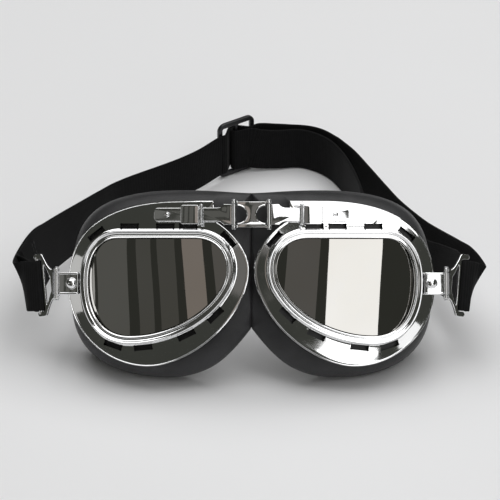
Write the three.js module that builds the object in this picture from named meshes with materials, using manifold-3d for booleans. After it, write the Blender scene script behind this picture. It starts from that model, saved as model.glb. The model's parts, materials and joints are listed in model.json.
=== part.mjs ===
// Motorcycle goggles of the classic aviator kind, standing on a table: two chromed lens frames
// on a hinged bridge, a soft face pad that leans back on its lower rim, and an elastic head strap
// that hangs from a hinged hook on each side and runs round behind to a three-bar slider.
// Units are millimetres and +Z is up. The goggles look towards -Y and the strap lies at +Y.
// "Left" and "right" are as seen from the front, so left is at -X.
//
// Each side is drawn once, for the right, in face coordinates: x outwards from the middle of the
// nose, y backwards from the plane of the lens frames, z up from the middle height of the lenses.

import * as THREE from 'three';
import { LoftGeometry } from 'three/addons/geometries/LoftGeometry.js';
import { mergeVertices } from 'three/addons/utils/BufferGeometryUtils.js';
import Module from 'manifold-3d';

const wasm = await Module();
wasm.setup();

// ---- driving dimensions -------------------------------------------------------------------

const LEAN = THREE.MathUtils.degToRad(36); // how far the face leans back from upright
const WRAP = THREE.MathUtils.degToRad(8); // how far each lens frame is swept back at the bridge
const HOOK_SWING = THREE.MathUtils.degToRad(26); // how far each strap hook is folded back at rest
const GAP = 0.3; // running gap between neighbouring pieces
const HALF_GAP = GAP / 2;

const BRIDGE = { pinX: 8.6, pinY: -0.9, low: 27.2, high: 40.4, pinR: 0.5, boreR: 0.8, barrelR: 1.3 };
const EYE = new THREE.Vector2(46, 0); // the middle of one lens, where the rays of its rings start

const RIM = 4.2; // width of the raised rim round a lens
const FLANGE_DROP = 2.2; // how far the sloping flange falls back from the rim to its edge
const FLANGE_THICK = 1.6;
const SLOT = { length: 9, width: 2.1, offset: RIM + 1.5 };

const LENS = { crown: -3.6, bow: 190, thick: 1.8 };
const RETAINER = { front: 4.4, thick: 1.5, inside: -2, margin: 3.4, lip: 2.0 };

const PAD = { front: 4.5, seat: 6.3, nose: 15, depth: 21, sweep: 12, lip: 12 };

const SIDE_PIN = { x: 97, y: -0.9, r: 0.6, boreR: 0.9, barrelR: 1.4 };
const HOOK = {
	crossbar: 3.2, innerBar: 6.9, innerBarEnd: 8.1, // x of the closed window's ends, and of the next one's start
	bar: 11.1, barR: 0.9, // the round bar that carries the strap
	end: 12.8, half: 15.4, knob: 2.6,
};
const HOOK_TILT = THREE.MathUtils.degToRad(6); // how far the hook's bars stand off its pin, top outwards

const STRAP = { width: 25, thick: 1.3 };
const LAYER = STRAP.thick + GAP; // from the middle of one strap layer to the next
const LOOP_R = HOOK.barR + GAP + STRAP.thick / 2; // radius of the strap's middle round a hook's bar

const TABLE = -52.75; // height of the table under the middle of the face
const SLIDER = {
	x: -8.6, y: 177.2, turn: 33,
	width: 23, height: 34, slot: 28.4, bar: 2.6, thick: 2.2, middleBar: 1.6,
};
const STRAP_LIFT = 3.2; // height of the strap's lower edge where it rests in the slider

// ---- materials ----------------------------------------------------------------------------

function material(color, roughness, metalness) {
	return new THREE.MeshStandardMaterial({ color, roughness, metalness });
}

const chrome = material(0xd9dadb, 0.08, 1);
const steel = material(0xc4c5c6, 0.25, 1);
const mirror = material(0x55534f, 0.05, 0.9);
const leather = material(0x2b2b2d, 0.65, 0);
const fleece = material(0x1c1c1e, 0.95, 0);
const plastic = material(0x151516, 0.35, 0);
const elastic = material(0x101011, 0.9, 0);

// ---- small helpers ------------------------------------------------------------------------

// A closed geometry as a manifold solid.
function solidOf(geometry) {
	const bare = new THREE.BufferGeometry();
	bare.setAttribute('position', geometry.attributes.position);
	bare.setIndex(geometry.index);
	const merged = mergeVertices(bare, 1e-3);
	return new wasm.Manifold(new wasm.Mesh({
		numProp: 3,
		vertProperties: merged.attributes.position.array,
		triVerts: new Uint32Array(merged.index.array),
	}));
}

// A manifold solid as a geometry.
function geometryOf(solid) {
	const mesh = solid.getMesh();
	const geometry = new THREE.BufferGeometry();
	geometry.setAttribute('position', new THREE.BufferAttribute(mesh.vertProperties, 3));
	geometry.setIndex(new THREE.BufferAttribute(mesh.triVerts, 1));
	geometry.computeVertexNormals();
	return geometry;
}

function join(...geometries) {
	return geometryOf(geometries.map(solidOf).reduce((all, one) => all.add(one)));
}

function cut(geometry, ...tools) {
	return geometryOf(tools.map(solidOf).reduce((left, tool) => left.subtract(tool), solidOf(geometry)));
}

// A flat plate of an outline drawn in x and z, from y = back forwards by its thickness.
function plate(outline, back, thickness, curveSegments = 4) {
	const options = { depth: thickness, bevelEnabled: false, curveSegments };
	return new THREE.ExtrudeGeometry(outline, options).rotateX(Math.PI / 2).translate(0, back, 0);
}

function box(xLow, xHigh, yLow, yHigh, zLow, zHigh) {
	return new THREE.BoxGeometry(xHigh - xLow, yHigh - yLow, zHigh - zLow)
		.translate((xLow + xHigh) / 2, (yLow + yHigh) / 2, (zLow + zHigh) / 2);
}

// A round bar standing along z.
function post(x, y, zLow, zHigh, radius, sides = 12) {
	return new THREE.CylinderGeometry(radius, radius, zHigh - zLow, sides)
		.rotateX(Math.PI / 2).translate(x, y, (zLow + zHigh) / 2);
}

function ball(x, y, z, radius) {
	return new THREE.SphereGeometry(radius, 8, 5).translate(x, y, z);
}

// A low dome whose flat back is at y = back and whose crown points forwards.
function dome(x, z, back, radius, height) {
	const profile = [new THREE.Vector2(0, 0), new THREE.Vector2(radius, 0)];
	for (let i = 1; i <= 3; i++) {
		const turn = (i / 3) * (Math.PI / 2);
		profile.push(new THREE.Vector2(radius * Math.cos(turn), height * Math.sin(turn)));
	}
	profile[profile.length - 1].x = 0;
	return new THREE.LatheGeometry(profile, 16).rotateX(Math.PI).translate(x, back, z);
}

function roundedRectangle(xLow, xHigh, zLow, zHigh, radius, Kind = THREE.Shape) {
	const outline = new Kind();
	outline.moveTo(xLow + radius, zLow);
	outline.lineTo(xHigh - radius, zLow);
	outline.absarc(xHigh - radius, zLow + radius, radius, -Math.PI / 2, 0);
	outline.lineTo(xHigh, zHigh - radius);
	outline.absarc(xHigh - radius, zHigh - radius, radius, 0, Math.PI / 2);
	outline.lineTo(xLow + radius, zHigh);
	outline.absarc(xLow + radius, zHigh - radius, radius, Math.PI / 2, Math.PI);
	outline.lineTo(xLow, zLow + radius);
	outline.absarc(xLow + radius, zLow + radius, radius, Math.PI, 1.5 * Math.PI);
	return outline;
}

function mesh(name, geometry, finish, parent) {
	const made = new THREE.Mesh(geometry, finish);
	made.name = name;
	parent.add(made);
	return made;
}

// ---- outlines of one eye, counterclockwise in x and z --------------------------------------

// The opening round a lens: flat on top, full at the temple, cut away towards the cheek.
function lensOutline() {
	const path = new THREE.Path();
	path.moveTo(28, 22.2);
	path.bezierCurveTo(12, 22.2, 9, 7, 14.5, -2.2);
	path.bezierCurveTo(24, -18, 44, -25.8, 60, -25.8);
	path.bezierCurveTo(74.5, -25.8, 80.7, -14, 80.7, 1);
	path.bezierCurveTo(80.7, 13.5, 75.5, 22.2, 66, 22.2);
	path.lineTo(28, 22.2);
	return path.getPoints(24);
}

// The edge of the frame's flange, with the square shoulder beside the bridge.
function flangeOutline() {
	const path = new THREE.Path();
	path.moveTo(19.4, 40.4);
	path.lineTo(18.9, 33);
	path.lineTo(17, 29.9);
	path.bezierCurveTo(7.5, 24, 1.7, 14, 1.7, 6.6);
	path.bezierCurveTo(1.7, -16, 30, -40.5, 52, -40.5);
	path.bezierCurveTo(72, -40.5, 91.4, -24, 91.4, -1);
	path.bezierCurveTo(91.4, 31, 66, 40.4, 36, 40.4);
	path.lineTo(19.4, 40.4);
	return path.getPoints(24);
}

// The outer edge of the face pad's rear rim. It meets the other half in the middle of the nose.
function padOutline() {
	const path = new THREE.Path();
	path.moveTo(HALF_GAP, 44.3);
	path.lineTo(HALF_GAP, -21.3);
	path.bezierCurveTo(9, -33, 22, -46.2, 44, -46.2);
	path.bezierCurveTo(78, -46.2, 95, -30, 92.4, -6);
	path.bezierCurveTo(94.5, 30, 86, 46.2, 36, 45.8);
	path.bezierCurveTo(22, 45.8, 10, 44.5, HALF_GAP, 44.3);
	return path.getPoints(24);
}

// An outline moved outwards by a distance, square to itself.
function offset(points, distance) {
	const loop = points.filter((p, i) => p.distanceTo(points[(i + 1) % points.length]) > 1e-6);
	return loop.map((p, i) => {
		const before = loop[(i + loop.length - 1) % loop.length];
		const after = loop[(i + 1) % loop.length];
		const along = after.clone().sub(before).normalize();
		return new THREE.Vector2(p.x - along.y * -distance, p.y - along.x * distance);
	});
}

// How far an outline lies from the eye's middle in one direction.
function reach(points, angle) {
	const ray = new THREE.Vector2(Math.cos(angle), Math.sin(angle));
	let far = 0;
	points.forEach((p, i) => {
		const a = p.clone().sub(EYE);
		const b = points[(i + 1) % points.length].clone().sub(EYE);
		const edge = b.clone().sub(a);
		const turn = ray.cross(edge);
		if (Math.abs(turn) < 1e-9) return;
		const along = a.cross(edge) / turn;
		const share = a.cross(ray) / turn;
		if (along > 0 && share >= -1e-9 && share <= 1 + 1e-9) far = Math.max(far, along);
	});
	return far;
}

// A ring round the eye: each station of its section is an outline, moved along its ray by "shift",
// at a depth, which is a number or a function of x, z and the angle.
function ring(stations, angles) {
	const sections = angles.map((angle) => stations.map(({ outline, shift = 0, depth }) => {
		const r = reach(outline, angle) + shift;
		const x = EYE.x + r * Math.cos(angle);
		const z = EYE.y + r * Math.sin(angle);
		return new THREE.Vector3(x, typeof depth === 'function' ? depth(x, z) : depth, z);
	}));
	sections.push(sections[0]);
	return new LoftGeometry(sections);
}

const lensEdge = lensOutline();
const flangeEdge = flangeOutline();
const padEdge = padOutline();

// Evenly spread rays, with one more at each of the flange's two shoulder corners.
function rays(count, corners = []) {
	const angles = Array.from({ length: count }, (_, i) => (i / count) * 2 * Math.PI);
	corners.forEach((c) => angles.push((Math.atan2(c.y - EYE.y, c.x - EYE.x) + 2 * Math.PI) % (2 * Math.PI)));
	return angles.sort((a, b) => a - b);
}

const shoulder = [flangeEdge[0], new THREE.Vector2(18.9, 33), new THREE.Vector2(17, 29.9)];

// ---- pieces of one eye ---------------------------------------------------------------------

// The chromed front: a double bead round the lens, a sloping flange and nine vent slots.
function lensFrame() {
	const bead = [
		[0, 1.6], [0, -3.5], [0.8, -4.2], [1.9, -3.3], [3.3, -3.8], [RIM, -2.8], [RIM, 0],
	].map(([distance, depth]) => ({ outline: offset(lensEdge, distance), depth }));
	const flange = [
		{ outline: flangeEdge, depth: FLANGE_DROP },
		{ outline: flangeEdge, depth: FLANGE_DROP + FLANGE_THICK },
		{ outline: offset(lensEdge, RIM), depth: FLANGE_THICK },
	];
	const body = ring([...bead, ...flange], rays(36, shoulder));
	return cut(body, ...slots().map(({ x, z, turn }) => {
		const { length, width } = SLOT;
		const outline = roundedRectangle(-length / 2, length / 2, -width / 2, width / 2, 0.45 * width);
		return plate(outline, FLANGE_THICK + 4, 6, 2).rotateY(-turn).translate(x, 0, z);
	}));
}

// The places of the vent slots: along the foot of the rim, except at the side bracket.
function slots() {
	const angles = [148, 117.5, 96.5, 62.5, 38, 209, 241.5, 284, 307].map(THREE.MathUtils.degToRad);
	const line = offset(lensEdge, SLOT.offset);
	return angles.map((angle) => {
		const at = (a) => new THREE.Vector2(Math.cos(a), Math.sin(a)).multiplyScalar(reach(line, a)).add(EYE);
		const here = at(angle);
		const along = at(angle + 0.05).sub(at(angle - 0.05));
		return { x: here.x, z: here.y, turn: Math.atan2(along.y, along.x) };
	});
}

// A smoked lens, bowed about an upright axis. It is lofted in upright slices from nose to temple.
function lens() {
	const edge = offset(lensEdge, -0.55);
	const low = Math.min(...edge.map((p) => p.x)) + 0.15;
	const high = Math.max(...edge.map((p) => p.x)) - 0.15;
	const slices = 20;
	const sections = [];
	for (let i = 0; i <= slices; i++) {
		const x = (low + high) / 2 - ((high - low) / 2) * Math.cos((i / slices) * Math.PI);
		const crossings = edge.flatMap((p, k) => {
			const q = edge[(k + 1) % edge.length];
			return (p.x - x) * (q.x - x) > 0 || p.x === q.x ? [] : [p.y + ((q.y - p.y) * (x - p.x)) / (q.x - p.x)];
		});
		const front = LENS.crown + (x - EYE.x) ** 2 / (2 * LENS.bow);
		const bottom = Math.min(...crossings);
		const top = Math.max(...crossings);
		sections.push([
			new THREE.Vector3(x, front, bottom), new THREE.Vector3(x, front, top),
			new THREE.Vector3(x, front + LENS.thick, top), new THREE.Vector3(x, front + LENS.thick, bottom),
		].reverse());
	}
	return new LoftGeometry(sections, { capStart: true, capEnd: true });
}

// The black ring behind the frame that holds the lens in and clamps the face pad.
function retainer() {
	const back = RETAINER.front + RETAINER.thick;
	const stations = [
		{ outline: offset(lensEdge, RETAINER.inside), depth: back },
		{ outline: offset(lensEdge, RETAINER.inside), depth: RETAINER.lip },
		{ outline: offset(lensEdge, 2), depth: RETAINER.lip },
		{ outline: offset(lensEdge, 2), depth: RETAINER.front },
		{ outline: flangeEdge, shift: -RETAINER.margin, depth: RETAINER.front },
		{ outline: flangeEdge, shift: -RETAINER.margin, depth: back },
	];
	return ring(stations, rays(32, shoulder));
}

// The depth of the pad's rear rim: shallow over the nose, deeper towards the temple.
function rimDepth(x) {
	const out = THREE.MathUtils.clamp(x / 92, 0, 1);
	return PAD.nose + (PAD.depth - PAD.nose) * Math.min(1, out * 2.2) ** 0.8 + PAD.sweep * out ** 2.5;
}

// The soft skirt between frame and face: it starts behind the flange and flares to the rear rim.
function facePad() {
	const inner = offset(lensEdge, 3.5);
	const flare = (share) => (x) => PAD.front + (rimDepth(x) - PAD.front) * share;
	const stations = [
		{ outline: inner, depth: PAD.seat },
		{ outline: flangeEdge, shift: -2.8, depth: PAD.seat },
		{ outline: flangeEdge, shift: -2.6, depth: PAD.front },
		{ outline: flangeEdge, shift: 0.3, depth: PAD.front },
		{ outline: padEdge, shift: -1.6, depth: flare(0.35) },
		{ outline: padEdge, depth: flare(0.75) },
		{ outline: padEdge, shift: -1.5, depth: flare(0.93) },
		{ outline: padEdge, shift: -0.42 * PAD.lip, depth: flare(0.95) },
		{ outline: padEdge, shift: -PAD.lip, depth: flare(0.82) },
		{ outline: padEdge, shift: -PAD.lip, depth: flare(0.6) },
	];
	return ring(stations, rays(40, [...shoulder, padEdge[0], new THREE.Vector2(HALF_GAP, -21.3)]));
}

// The soft roll along the pad's rear rim that rests on the face.
function faceRoll() {
	const flare = (share, more) => (x) => PAD.front + (rimDepth(x) - PAD.front) * share + more;
	const stations = [
		{ outline: padEdge, shift: -2.5, depth: flare(0.95, GAP + 0.2) },
		{ outline: padEdge, shift: -3.5, depth: flare(1, 0.6) },
		{ outline: padEdge, shift: -6.5, depth: flare(1, 1.2) },
		{ outline: padEdge, shift: -10, depth: flare(1, -0.2) },
		{ outline: padEdge, shift: -PAD.lip + 0.3, depth: flare(0.86, 0.6) },
		{ outline: padEdge, shift: -0.42 * PAD.lip, depth: flare(0.95, GAP + 0.2) },
	];
	return ring(stations, rays(30, [padEdge[0], new THREE.Vector2(HALF_GAP, -21.3)]));
}

// A soft piece swept back with its lens frame and trimmed where the two halves meet at the nose.
function trimmed(geometry, sweep) {
	sweep.updateMatrix();
	const swept = geometry.translate(-BRIDGE.pinX, -BRIDGE.pinY, 0).applyMatrix4(sweep.matrix);
	return cut(swept, box(-30, HALF_GAP, -10, 70, -80, 80));
}

// The flat strip from the bridge hinge, through the keeper, to its pointed tongue.
function hingeTongue() {
	const { pinX, pinY, low, high, barrelR, boreR } = BRIDGE;
	const middle = (low + high) / 2;
	const half = 3.3;
	const outline = new THREE.Shape();
	outline.moveTo(pinX, low + 1.5);
	outline.lineTo(13.6, low + 1.2);
	outline.quadraticCurveTo(14.8, middle - half, 17.2, middle - half);
	outline.lineTo(46.6, middle - half);
	outline.quadraticCurveTo(48.3, middle - half, 48.3, middle - half + 1.7);
	outline.lineTo(48.3, middle + half - 1.7);
	outline.quadraticCurveTo(48.3, middle + half, 46.6, middle + half);
	outline.lineTo(17.2, middle + half);
	outline.quadraticCurveTo(14.8, middle + half, 13.6, high - 1.2);
	outline.lineTo(pinX, high - 1.5);
	outline.closePath();
	const barrel = post(pinX, pinY, low + 1.5, high - 1.5, barrelR);
	const bore = post(pinX, pinY, low - 1, high + 1, boreR);
	return cut(join(plate(outline, 0.1, 1.2), barrel), bore);
}

// The belt keeper that bridges the tongue: a raised plate on two feet.
function keeper() {
	const middle = (BRIDGE.low + BRIDGE.high) / 2;
	const cap = plate(roundedRectangle(25.9, 34.9, middle - 4.7, middle + 4.7, 0.9), -1.5, 1);
	const upper = box(26.4, 34.4, -1.6, 1.3, middle + 3.6, middle + 4.5);
	const lower = box(26.4, 34.4, -1.6, 0.1, middle - 4.5, middle - 3.6);
	return join(cap, upper, lower);
}

function keeperBar() {
	const middle = (BRIDGE.low + BRIDGE.high) / 2;
	const bar = post(24.6, -2.2, middle - 4.6, middle + 4.6, 0.75, 12);
	return join(bar, ball(24.6, -2.2, middle - 4.6, 1), ball(24.6, -2.2, middle + 4.6, 1));
}

// The chromed seat at the temple, with the knuckle that the strap hook turns on.
function sideBracket() {
	const body = plate(roundedRectangle(86, 96, -5.5, 5.5, 0.6), -0.5, 1.6);
	const feet = [-5.4, 4.4].map((z) => box(87.5, 90.8, -0.7, 0.4, z, z + 1));
	const knuckle = post(SIDE_PIN.x, SIDE_PIN.y, -5.5, 5.5, SIDE_PIN.barrelR);
	return cut(join(body, ...feet, knuckle), post(SIDE_PIN.x, SIDE_PIN.y, -7, 7, SIDE_PIN.boreR));
}

// ---- the strap hook, in its own frame: x outwards from its hinge pin -------------------------

// Two ears on the hinge pin, two spreading arms and two bars. The strap goes round the outer bar.
function strapHook() {
	const { crossbar, innerBar, innerBarEnd, bar, barR, end, half, knob } = HOOK;
	const outline = new THREE.Shape();
	outline.moveTo(-1.2, -7);
	outline.lineTo(1.4, -7);
	outline.bezierCurveTo(4, -7.4, 6, -12.5, 7.2, -half);
	outline.lineTo(end, -half);
	outline.lineTo(end, knob - half);
	outline.lineTo(innerBarEnd, knob - half);
	outline.lineTo(innerBarEnd, half - knob);
	outline.lineTo(end, half - knob);
	outline.lineTo(end, half);
	outline.lineTo(7.2, half);
	outline.bezierCurveTo(6, 12.5, 4, 7.4, 1.4, 7);
	outline.lineTo(-1.2, 7);
	outline.closePath();
	const windowHole = new THREE.Path();
	windowHole.moveTo(crossbar, -3);
	windowHole.lineTo(innerBar - 0.6, -9.8);
	windowHole.lineTo(innerBar, -9.8);
	windowHole.lineTo(innerBar, 9.8);
	windowHole.lineTo(innerBar - 0.6, 9.8);
	windowHole.lineTo(crossbar, 3);
	windowHole.closePath();
	outline.holes.push(windowHole);
	const arms = join(plate(outline, 0.6, 1.2), post(bar, 0, 1 - half, half - 1, barR)).rotateY(HOOK_TILT);
	const ears = post(0, 0, -7.5, 7.5, SIDE_PIN.barrelR);
	const mouth = box(-3, 1.8, -3, 3, -5.5 - GAP, 5.5 + GAP);
	return cut(join(arms, ears), mouth, post(0, 0, -9, 9, SIDE_PIN.boreR));
}

// A wire along z with a flat head outside each end of its hinge.
function headedPin(x, y, low, high, radius) {
	const heads = [post(x, y, low - 0.5, low, 1.1), post(x, y, high, high + 0.5, 1.1)];
	return join(post(x, y, low - 0.3, high + 0.3, radius), ...heads);
}

// ---- the bridge -----------------------------------------------------------------------------

// The plate between the two hinge pins, with a D-shaped window at each end.
function bridgePlate() {
	const { pinX, pinY, low, high, barrelR, boreR } = BRIDGE;
	const middle = (low + high) / 2;
	const outline = roundedRectangle(-pinX, pinX, low + 0.3, high - 0.3, 0.5);
	const body = plate(outline, 0, 1.4);
	const windows = [-1, 1].map((side) => {
		const gap = new THREE.Shape();
		gap.absarc(0, middle, 5.3, -Math.PI / 2, Math.PI / 2);
		const hole = plate(gap, 2, 6);
		return side < 0 ? hole.translate(-7.2, 0, 0) : hole.rotateZ(Math.PI).translate(7.2, 0, 0);
	});
	const clearances = [-1, 1].map((side) => post(side * pinX, pinY, low + 1.2, high - 1.2, barrelR + GAP));
	const lugs = [-1, 1].flatMap((side) => [
		post(side * pinX, pinY, low, low + 1.2, barrelR),
		post(side * pinX, pinY, high - 1.2, high, barrelR),
	]);
	const bores = [-1, 1].map((side) => post(side * pinX, pinY, low - 2, high + 2, boreR));
	return cut(join(cut(body, ...windows, ...clearances), ...lugs), ...bores);
}

// ---- the strap, in world directions from the middle of the face ------------------------------

// A flat strip: each stop has its middle point and the direction of its width.
function ribbon(stops, pieces) {
	const path = new THREE.CatmullRomCurve3(stops.map(({ at }) => at), false, 'centripetal');
	const sections = [];
	for (let i = 0; i <= pieces; i++) {
		const t = i / pieces;
		const along = path.getTangent(t);
		const place = t * (stops.length - 1);
		const before = Math.min(Math.floor(place), stops.length - 2);
		const up = stops[before].up.clone().lerp(stops[before + 1].up, place - before);
		up.addScaledVector(along, -up.dot(along)).setLength(STRAP.width / 2);
		const out = up.clone().cross(along).setLength(STRAP.thick / 2);
		const middle = path.getPoint(t);
		sections.push([[-1, -1], [1, -1], [1, 1], [-1, 1]].map(([n, w]) =>
			middle.clone().addScaledVector(out, n).addScaledVector(up, w)));
	}
	return new LoftGeometry(sections, { capStart: true, capEnd: true });
}

const UPRIGHT = new THREE.Vector3(0, 0, 1);

// A stop over the table: "lift" is the height of the strap's lower edge, and its upper edge leans
// by "lean" to the right and by "back" away from the face.
function stop(x, y, lift = 0, lean = 0, back = 0) {
	const up = new THREE.Vector3(Math.tan(lean), Math.tan(back), 1).normalize();
	return { at: new THREE.Vector3(x, y, TABLE + lift + (STRAP.width / 2) * up.z), up };
}

// A stop in the frame of a strap hook, or of the slider.
function stopIn(frame, x, y, lean = 0, z = 0) {
	const at = frame.localToWorld(new THREE.Vector3(x, y, z));
	const up = new THREE.Vector3(Math.sin(lean), 0, Math.cos(lean)).transformDirection(frame.matrixWorld);
	return { at, up };
}

// Stops round a bar, from one angle to another, in a frame whose x runs along the strap.
function wrap(frame, x, y, radius, from, to, count) {
	return Array.from({ length: count }, (_, i) => {
		const turn = THREE.MathUtils.degToRad(from + ((to - from) * i) / (count - 1));
		return stopIn(frame, x + radius * Math.cos(turn), y + radius * Math.sin(turn));
	});
}

// The three-bar slider, lying across the strap: x along the strap, z upright.
function slider() {
	const { width, height, slot, bar, thick, middleBar } = SLIDER;
	const outline = roundedRectangle(-width / 2, width / 2, -height / 2, height / 2, 3);
	const inner = middleBar / 2;
	const outer = width / 2 - bar;
	outline.holes.push(roundedRectangle(inner, outer, -slot / 2, slot / 2, 0.8, THREE.Path));
	outline.holes.push(roundedRectangle(-outer, -inner, -slot / 2, slot / 2, 0.8, THREE.Path));
	return plate(outline, thick / 2, thick);
}

// ---- assembly --------------------------------------------------------------------------------

const goggles = new THREE.Group();
const face = new THREE.Group();
face.rotation.x = -LEAN;
goggles.add(face);

mesh('bridge_plate', bridgePlate(), chrome, face);

const hooks = {};
for (const [side, sign] of [['left', -1], ['right', 1]]) {
	const half = new THREE.Group();
	half.scale.x = sign;
	face.add(half);
	mesh(`bridge_pin_${side}`,
		headedPin(BRIDGE.pinX, BRIDGE.pinY, BRIDGE.low - GAP, BRIDGE.high + GAP, BRIDGE.pinR), steel, half);

	const turned = new THREE.Group();
	turned.position.set(BRIDGE.pinX, BRIDGE.pinY, 0);
	turned.rotation.z = WRAP;
	half.add(turned);
	const cup = new THREE.Group();
	cup.position.set(-BRIDGE.pinX, -BRIDGE.pinY, 0);
	turned.add(cup);

	mesh(`lens_frame_${side}`, lensFrame(), chrome, cup);
	mesh(`lens_${side}`, lens(), mirror, cup);
	mesh(`lens_retainer_${side}`, retainer(), plastic, cup);
	mesh(`hinge_tongue_${side}`, hingeTongue(), chrome, cup);
	mesh(`tongue_keeper_${side}`, keeper(), chrome, cup);
	mesh(`keeper_bar_${side}`, keeperBar(), chrome, cup);
	mesh(`tongue_rivet_${side}`, dome(41.6, (BRIDGE.low + BRIDGE.high) / 2, -1.4, 1.1, 0.7), chrome, cup);
	mesh(`side_bracket_${side}`, sideBracket(), chrome, cup);
	mesh(`bracket_rivet_${side}`, dome(89.3, 0, -2.4, 2.9, 1.7), chrome, cup);
	mesh(`hook_pin_${side}`, headedPin(SIDE_PIN.x, SIDE_PIN.y, -7.5 - GAP, 7.5 + GAP, SIDE_PIN.r), steel, cup);
	mesh(`face_pad_${side}`, trimmed(facePad(), turned), leather, half);
	mesh(`face_roll_${side}`, trimmed(faceRoll(), turned), fleece, half);

	const hook = new THREE.Group();
	hook.position.set(SIDE_PIN.x, SIDE_PIN.y, 0);
	hook.rotation.z = HOOK_SWING;
	cup.add(hook);
	mesh(`strap_hook_${side}`, strapHook(), chrome, hook);
	hooks[side] = new THREE.Group();
	hooks[side].rotation.y = HOOK_TILT;
	hook.add(hooks[side]);
}

const slide = new THREE.Group();
slide.position.set(SLIDER.x, SLIDER.y, TABLE + SLIDER.height / 2);
slide.rotation.z = THREE.MathUtils.degToRad(SLIDER.turn);
goggles.add(slide);
mesh('strap_slider', slider(), plastic, slide);
const threaded = new THREE.Group();
threaded.position.z = STRAP_LIFT + (STRAP.width - SLIDER.height) / 2;
slide.add(threaded);
goggles.updateMatrixWorld(true);

const under = -(SLIDER.thick / 2 + GAP + STRAP.thick / 2); // depth of the strap inside the end bars
const endBar = SLIDER.width / 2 - SLIDER.bar / 2;
const sewnLoop = 2.3; // radius of the sewn loop round the slider's middle bar

mesh('strap_left', ribbon([
	...wrap(hooks.left, HOOK.bar, 0, LOOP_R, 188, 270, 4),
	stopIn(hooks.left, 17, -LOOP_R, 0.12, 0.4),
	stopIn(hooks.left, 22.2, 1.6, 0.3, 1.5),
	stop(-107.2, 48.3, 26, -0.3, 0.52),
	stop(-102.8, 60.5, 21.6, -0.22, 0.42),
	stop(-96.3, 76.5, 16.2, -0.15, 0.31),
	stop(-88.5, 92.3, 11.7, -0.1, 0.22),
	stop(-79.5, 109.8, 7.2, -0.05, 0.12),
	stop(-70.1, 125, 4, 0, 0.05),
	stop(-49.4, 144, 1.2),
	stop(-38.8, 151, 1.4),
	stop(-28.3, 158.4, 2.3),
	stopIn(threaded, -endBar - 3, under - 0.5),
	stopIn(threaded, -endBar - 0.2, under),
], 60), elastic, goggles);

mesh('strap_end_left', ribbon([
	...wrap(hooks.left, HOOK.bar, 0, LOOP_R, 160, 90, 4),
	stopIn(hooks.left, 15.2, LOOP_R + 0.3, 0.12),
	stopIn(hooks.left, 17.4, 5.6, 0.3, 0.8),
	stop(-105.6, 42.4, 26.6, -0.36, 0.52),
], 20), elastic, goggles);

mesh('strap_rear', ribbon([
	stopIn(threaded, -endBar + 0.2, under),
	stopIn(threaded, -7.8, under + 0.05),
	stopIn(threaded, -6.4, under + 1.15),
	...wrap(threaded, 0, 0, sewnLoop + LAYER, 135, 45, 4),
	stopIn(threaded, 6.4, under + 1.15),
	stopIn(threaded, 7.8, under + 0.05),
	stopIn(threaded, endBar, under),
	stopIn(threaded, endBar + 2.5, under + 0.05),
	stop(12, 184.5, 2),
	stop(21, 185.4, 1),
	stop(31.4, 184.8, 0.5),
	stop(39.2, 181.8),
	stop(47.2, 173.8),
], 70), elastic, goggles);

mesh('strap_right', ribbon([
	stop(47.5, 173.4),
	stop(55, 162),
	stop(62.5, 145.6, 0.5),
	stop(69.8, 127.2, 2),
	stop(77.3, 107.6, 4, 0, 0.06),
	stop(84, 90.2, 7.3, 0.04, 0.15),
	stop(90.4, 74.9, 10.8, 0.08, 0.24),
	stop(96.7, 60.3, 15.6, 0.14, 0.34),
	stop(102.5, 46.2, 20.9, 0.22, 0.44),
	stop(107, 34.9, 25, 0.3, 0.52),
	stopIn(hooks.right, 18, 1.6, 0.42),
	stopIn(hooks.right, 14.4, -LOOP_R, 0.12),
	...wrap(hooks.right, HOOK.bar, 0, LOOP_R, 270, 188, 4),
], 60), elastic, goggles);

mesh('strap_return', ribbon([
	...wrap(hooks.right, HOOK.bar, 0, LOOP_R, 160, 130, 3),
	stopIn(hooks.right, 11.8, 5),
	stop(101.8, 28.5, 26.5, 0.12, 0.54),
	stop(99, 37, 22, 0.18, 0.46),
	stop(94.8, 46.5, 17.2, 0.16, 0.37),
	stop(88.5, 57, 12.6, 0.1, 0.28),
	stop(78, 75.5, 8.2, 0.04, 0.16),
	stop(66, 97, 4, 0, 0.06),
	stop(59.6, 114.5, 2),
	stop(56.9, 130.5, 1),
	stop(53.6, 145.2, 0.7),
	stop(48.6, 160, 0.5),
	stop(42.4, 171, 0.5),
	stop(34.6, 178, 0.5),
	stop(26, 181.4, 0.5),
	stop(16, 180, 0.8),
	stop(8, 178.9, 1.5),
	stop(3.2, 178.1, 2.4),
	stopIn(threaded, 6.6, under - LAYER - 0.1),
	...wrap(threaded, 0, 0, sewnLoop, 252, 65, 8),
], 90), elastic, goggles);

// The part's origin is the middle of its footprint on the table.
const bounds = new THREE.Box3().setFromObject(goggles, true);
const middle = bounds.getCenter(new THREE.Vector3());
goggles.position.set(-middle.x, -middle.y, -bounds.min.z);

export default goggles;
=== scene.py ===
"""Classic motorcycle goggles: chromed lens frames on a hinged bridge, a soft black pad, and an
elastic strap on hinged hooks. Shapes are drawn in millimetres in the frame of the face: x outwards
from the middle of the nose, y backwards from the plane of the lens frames, z up. Each side is
drawn once, for the right, and mirrored for the left."""
import bpy
import bmesh
import json
import math
import numpy as np
from mathutils import Matrix, Quaternion, Vector


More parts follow.
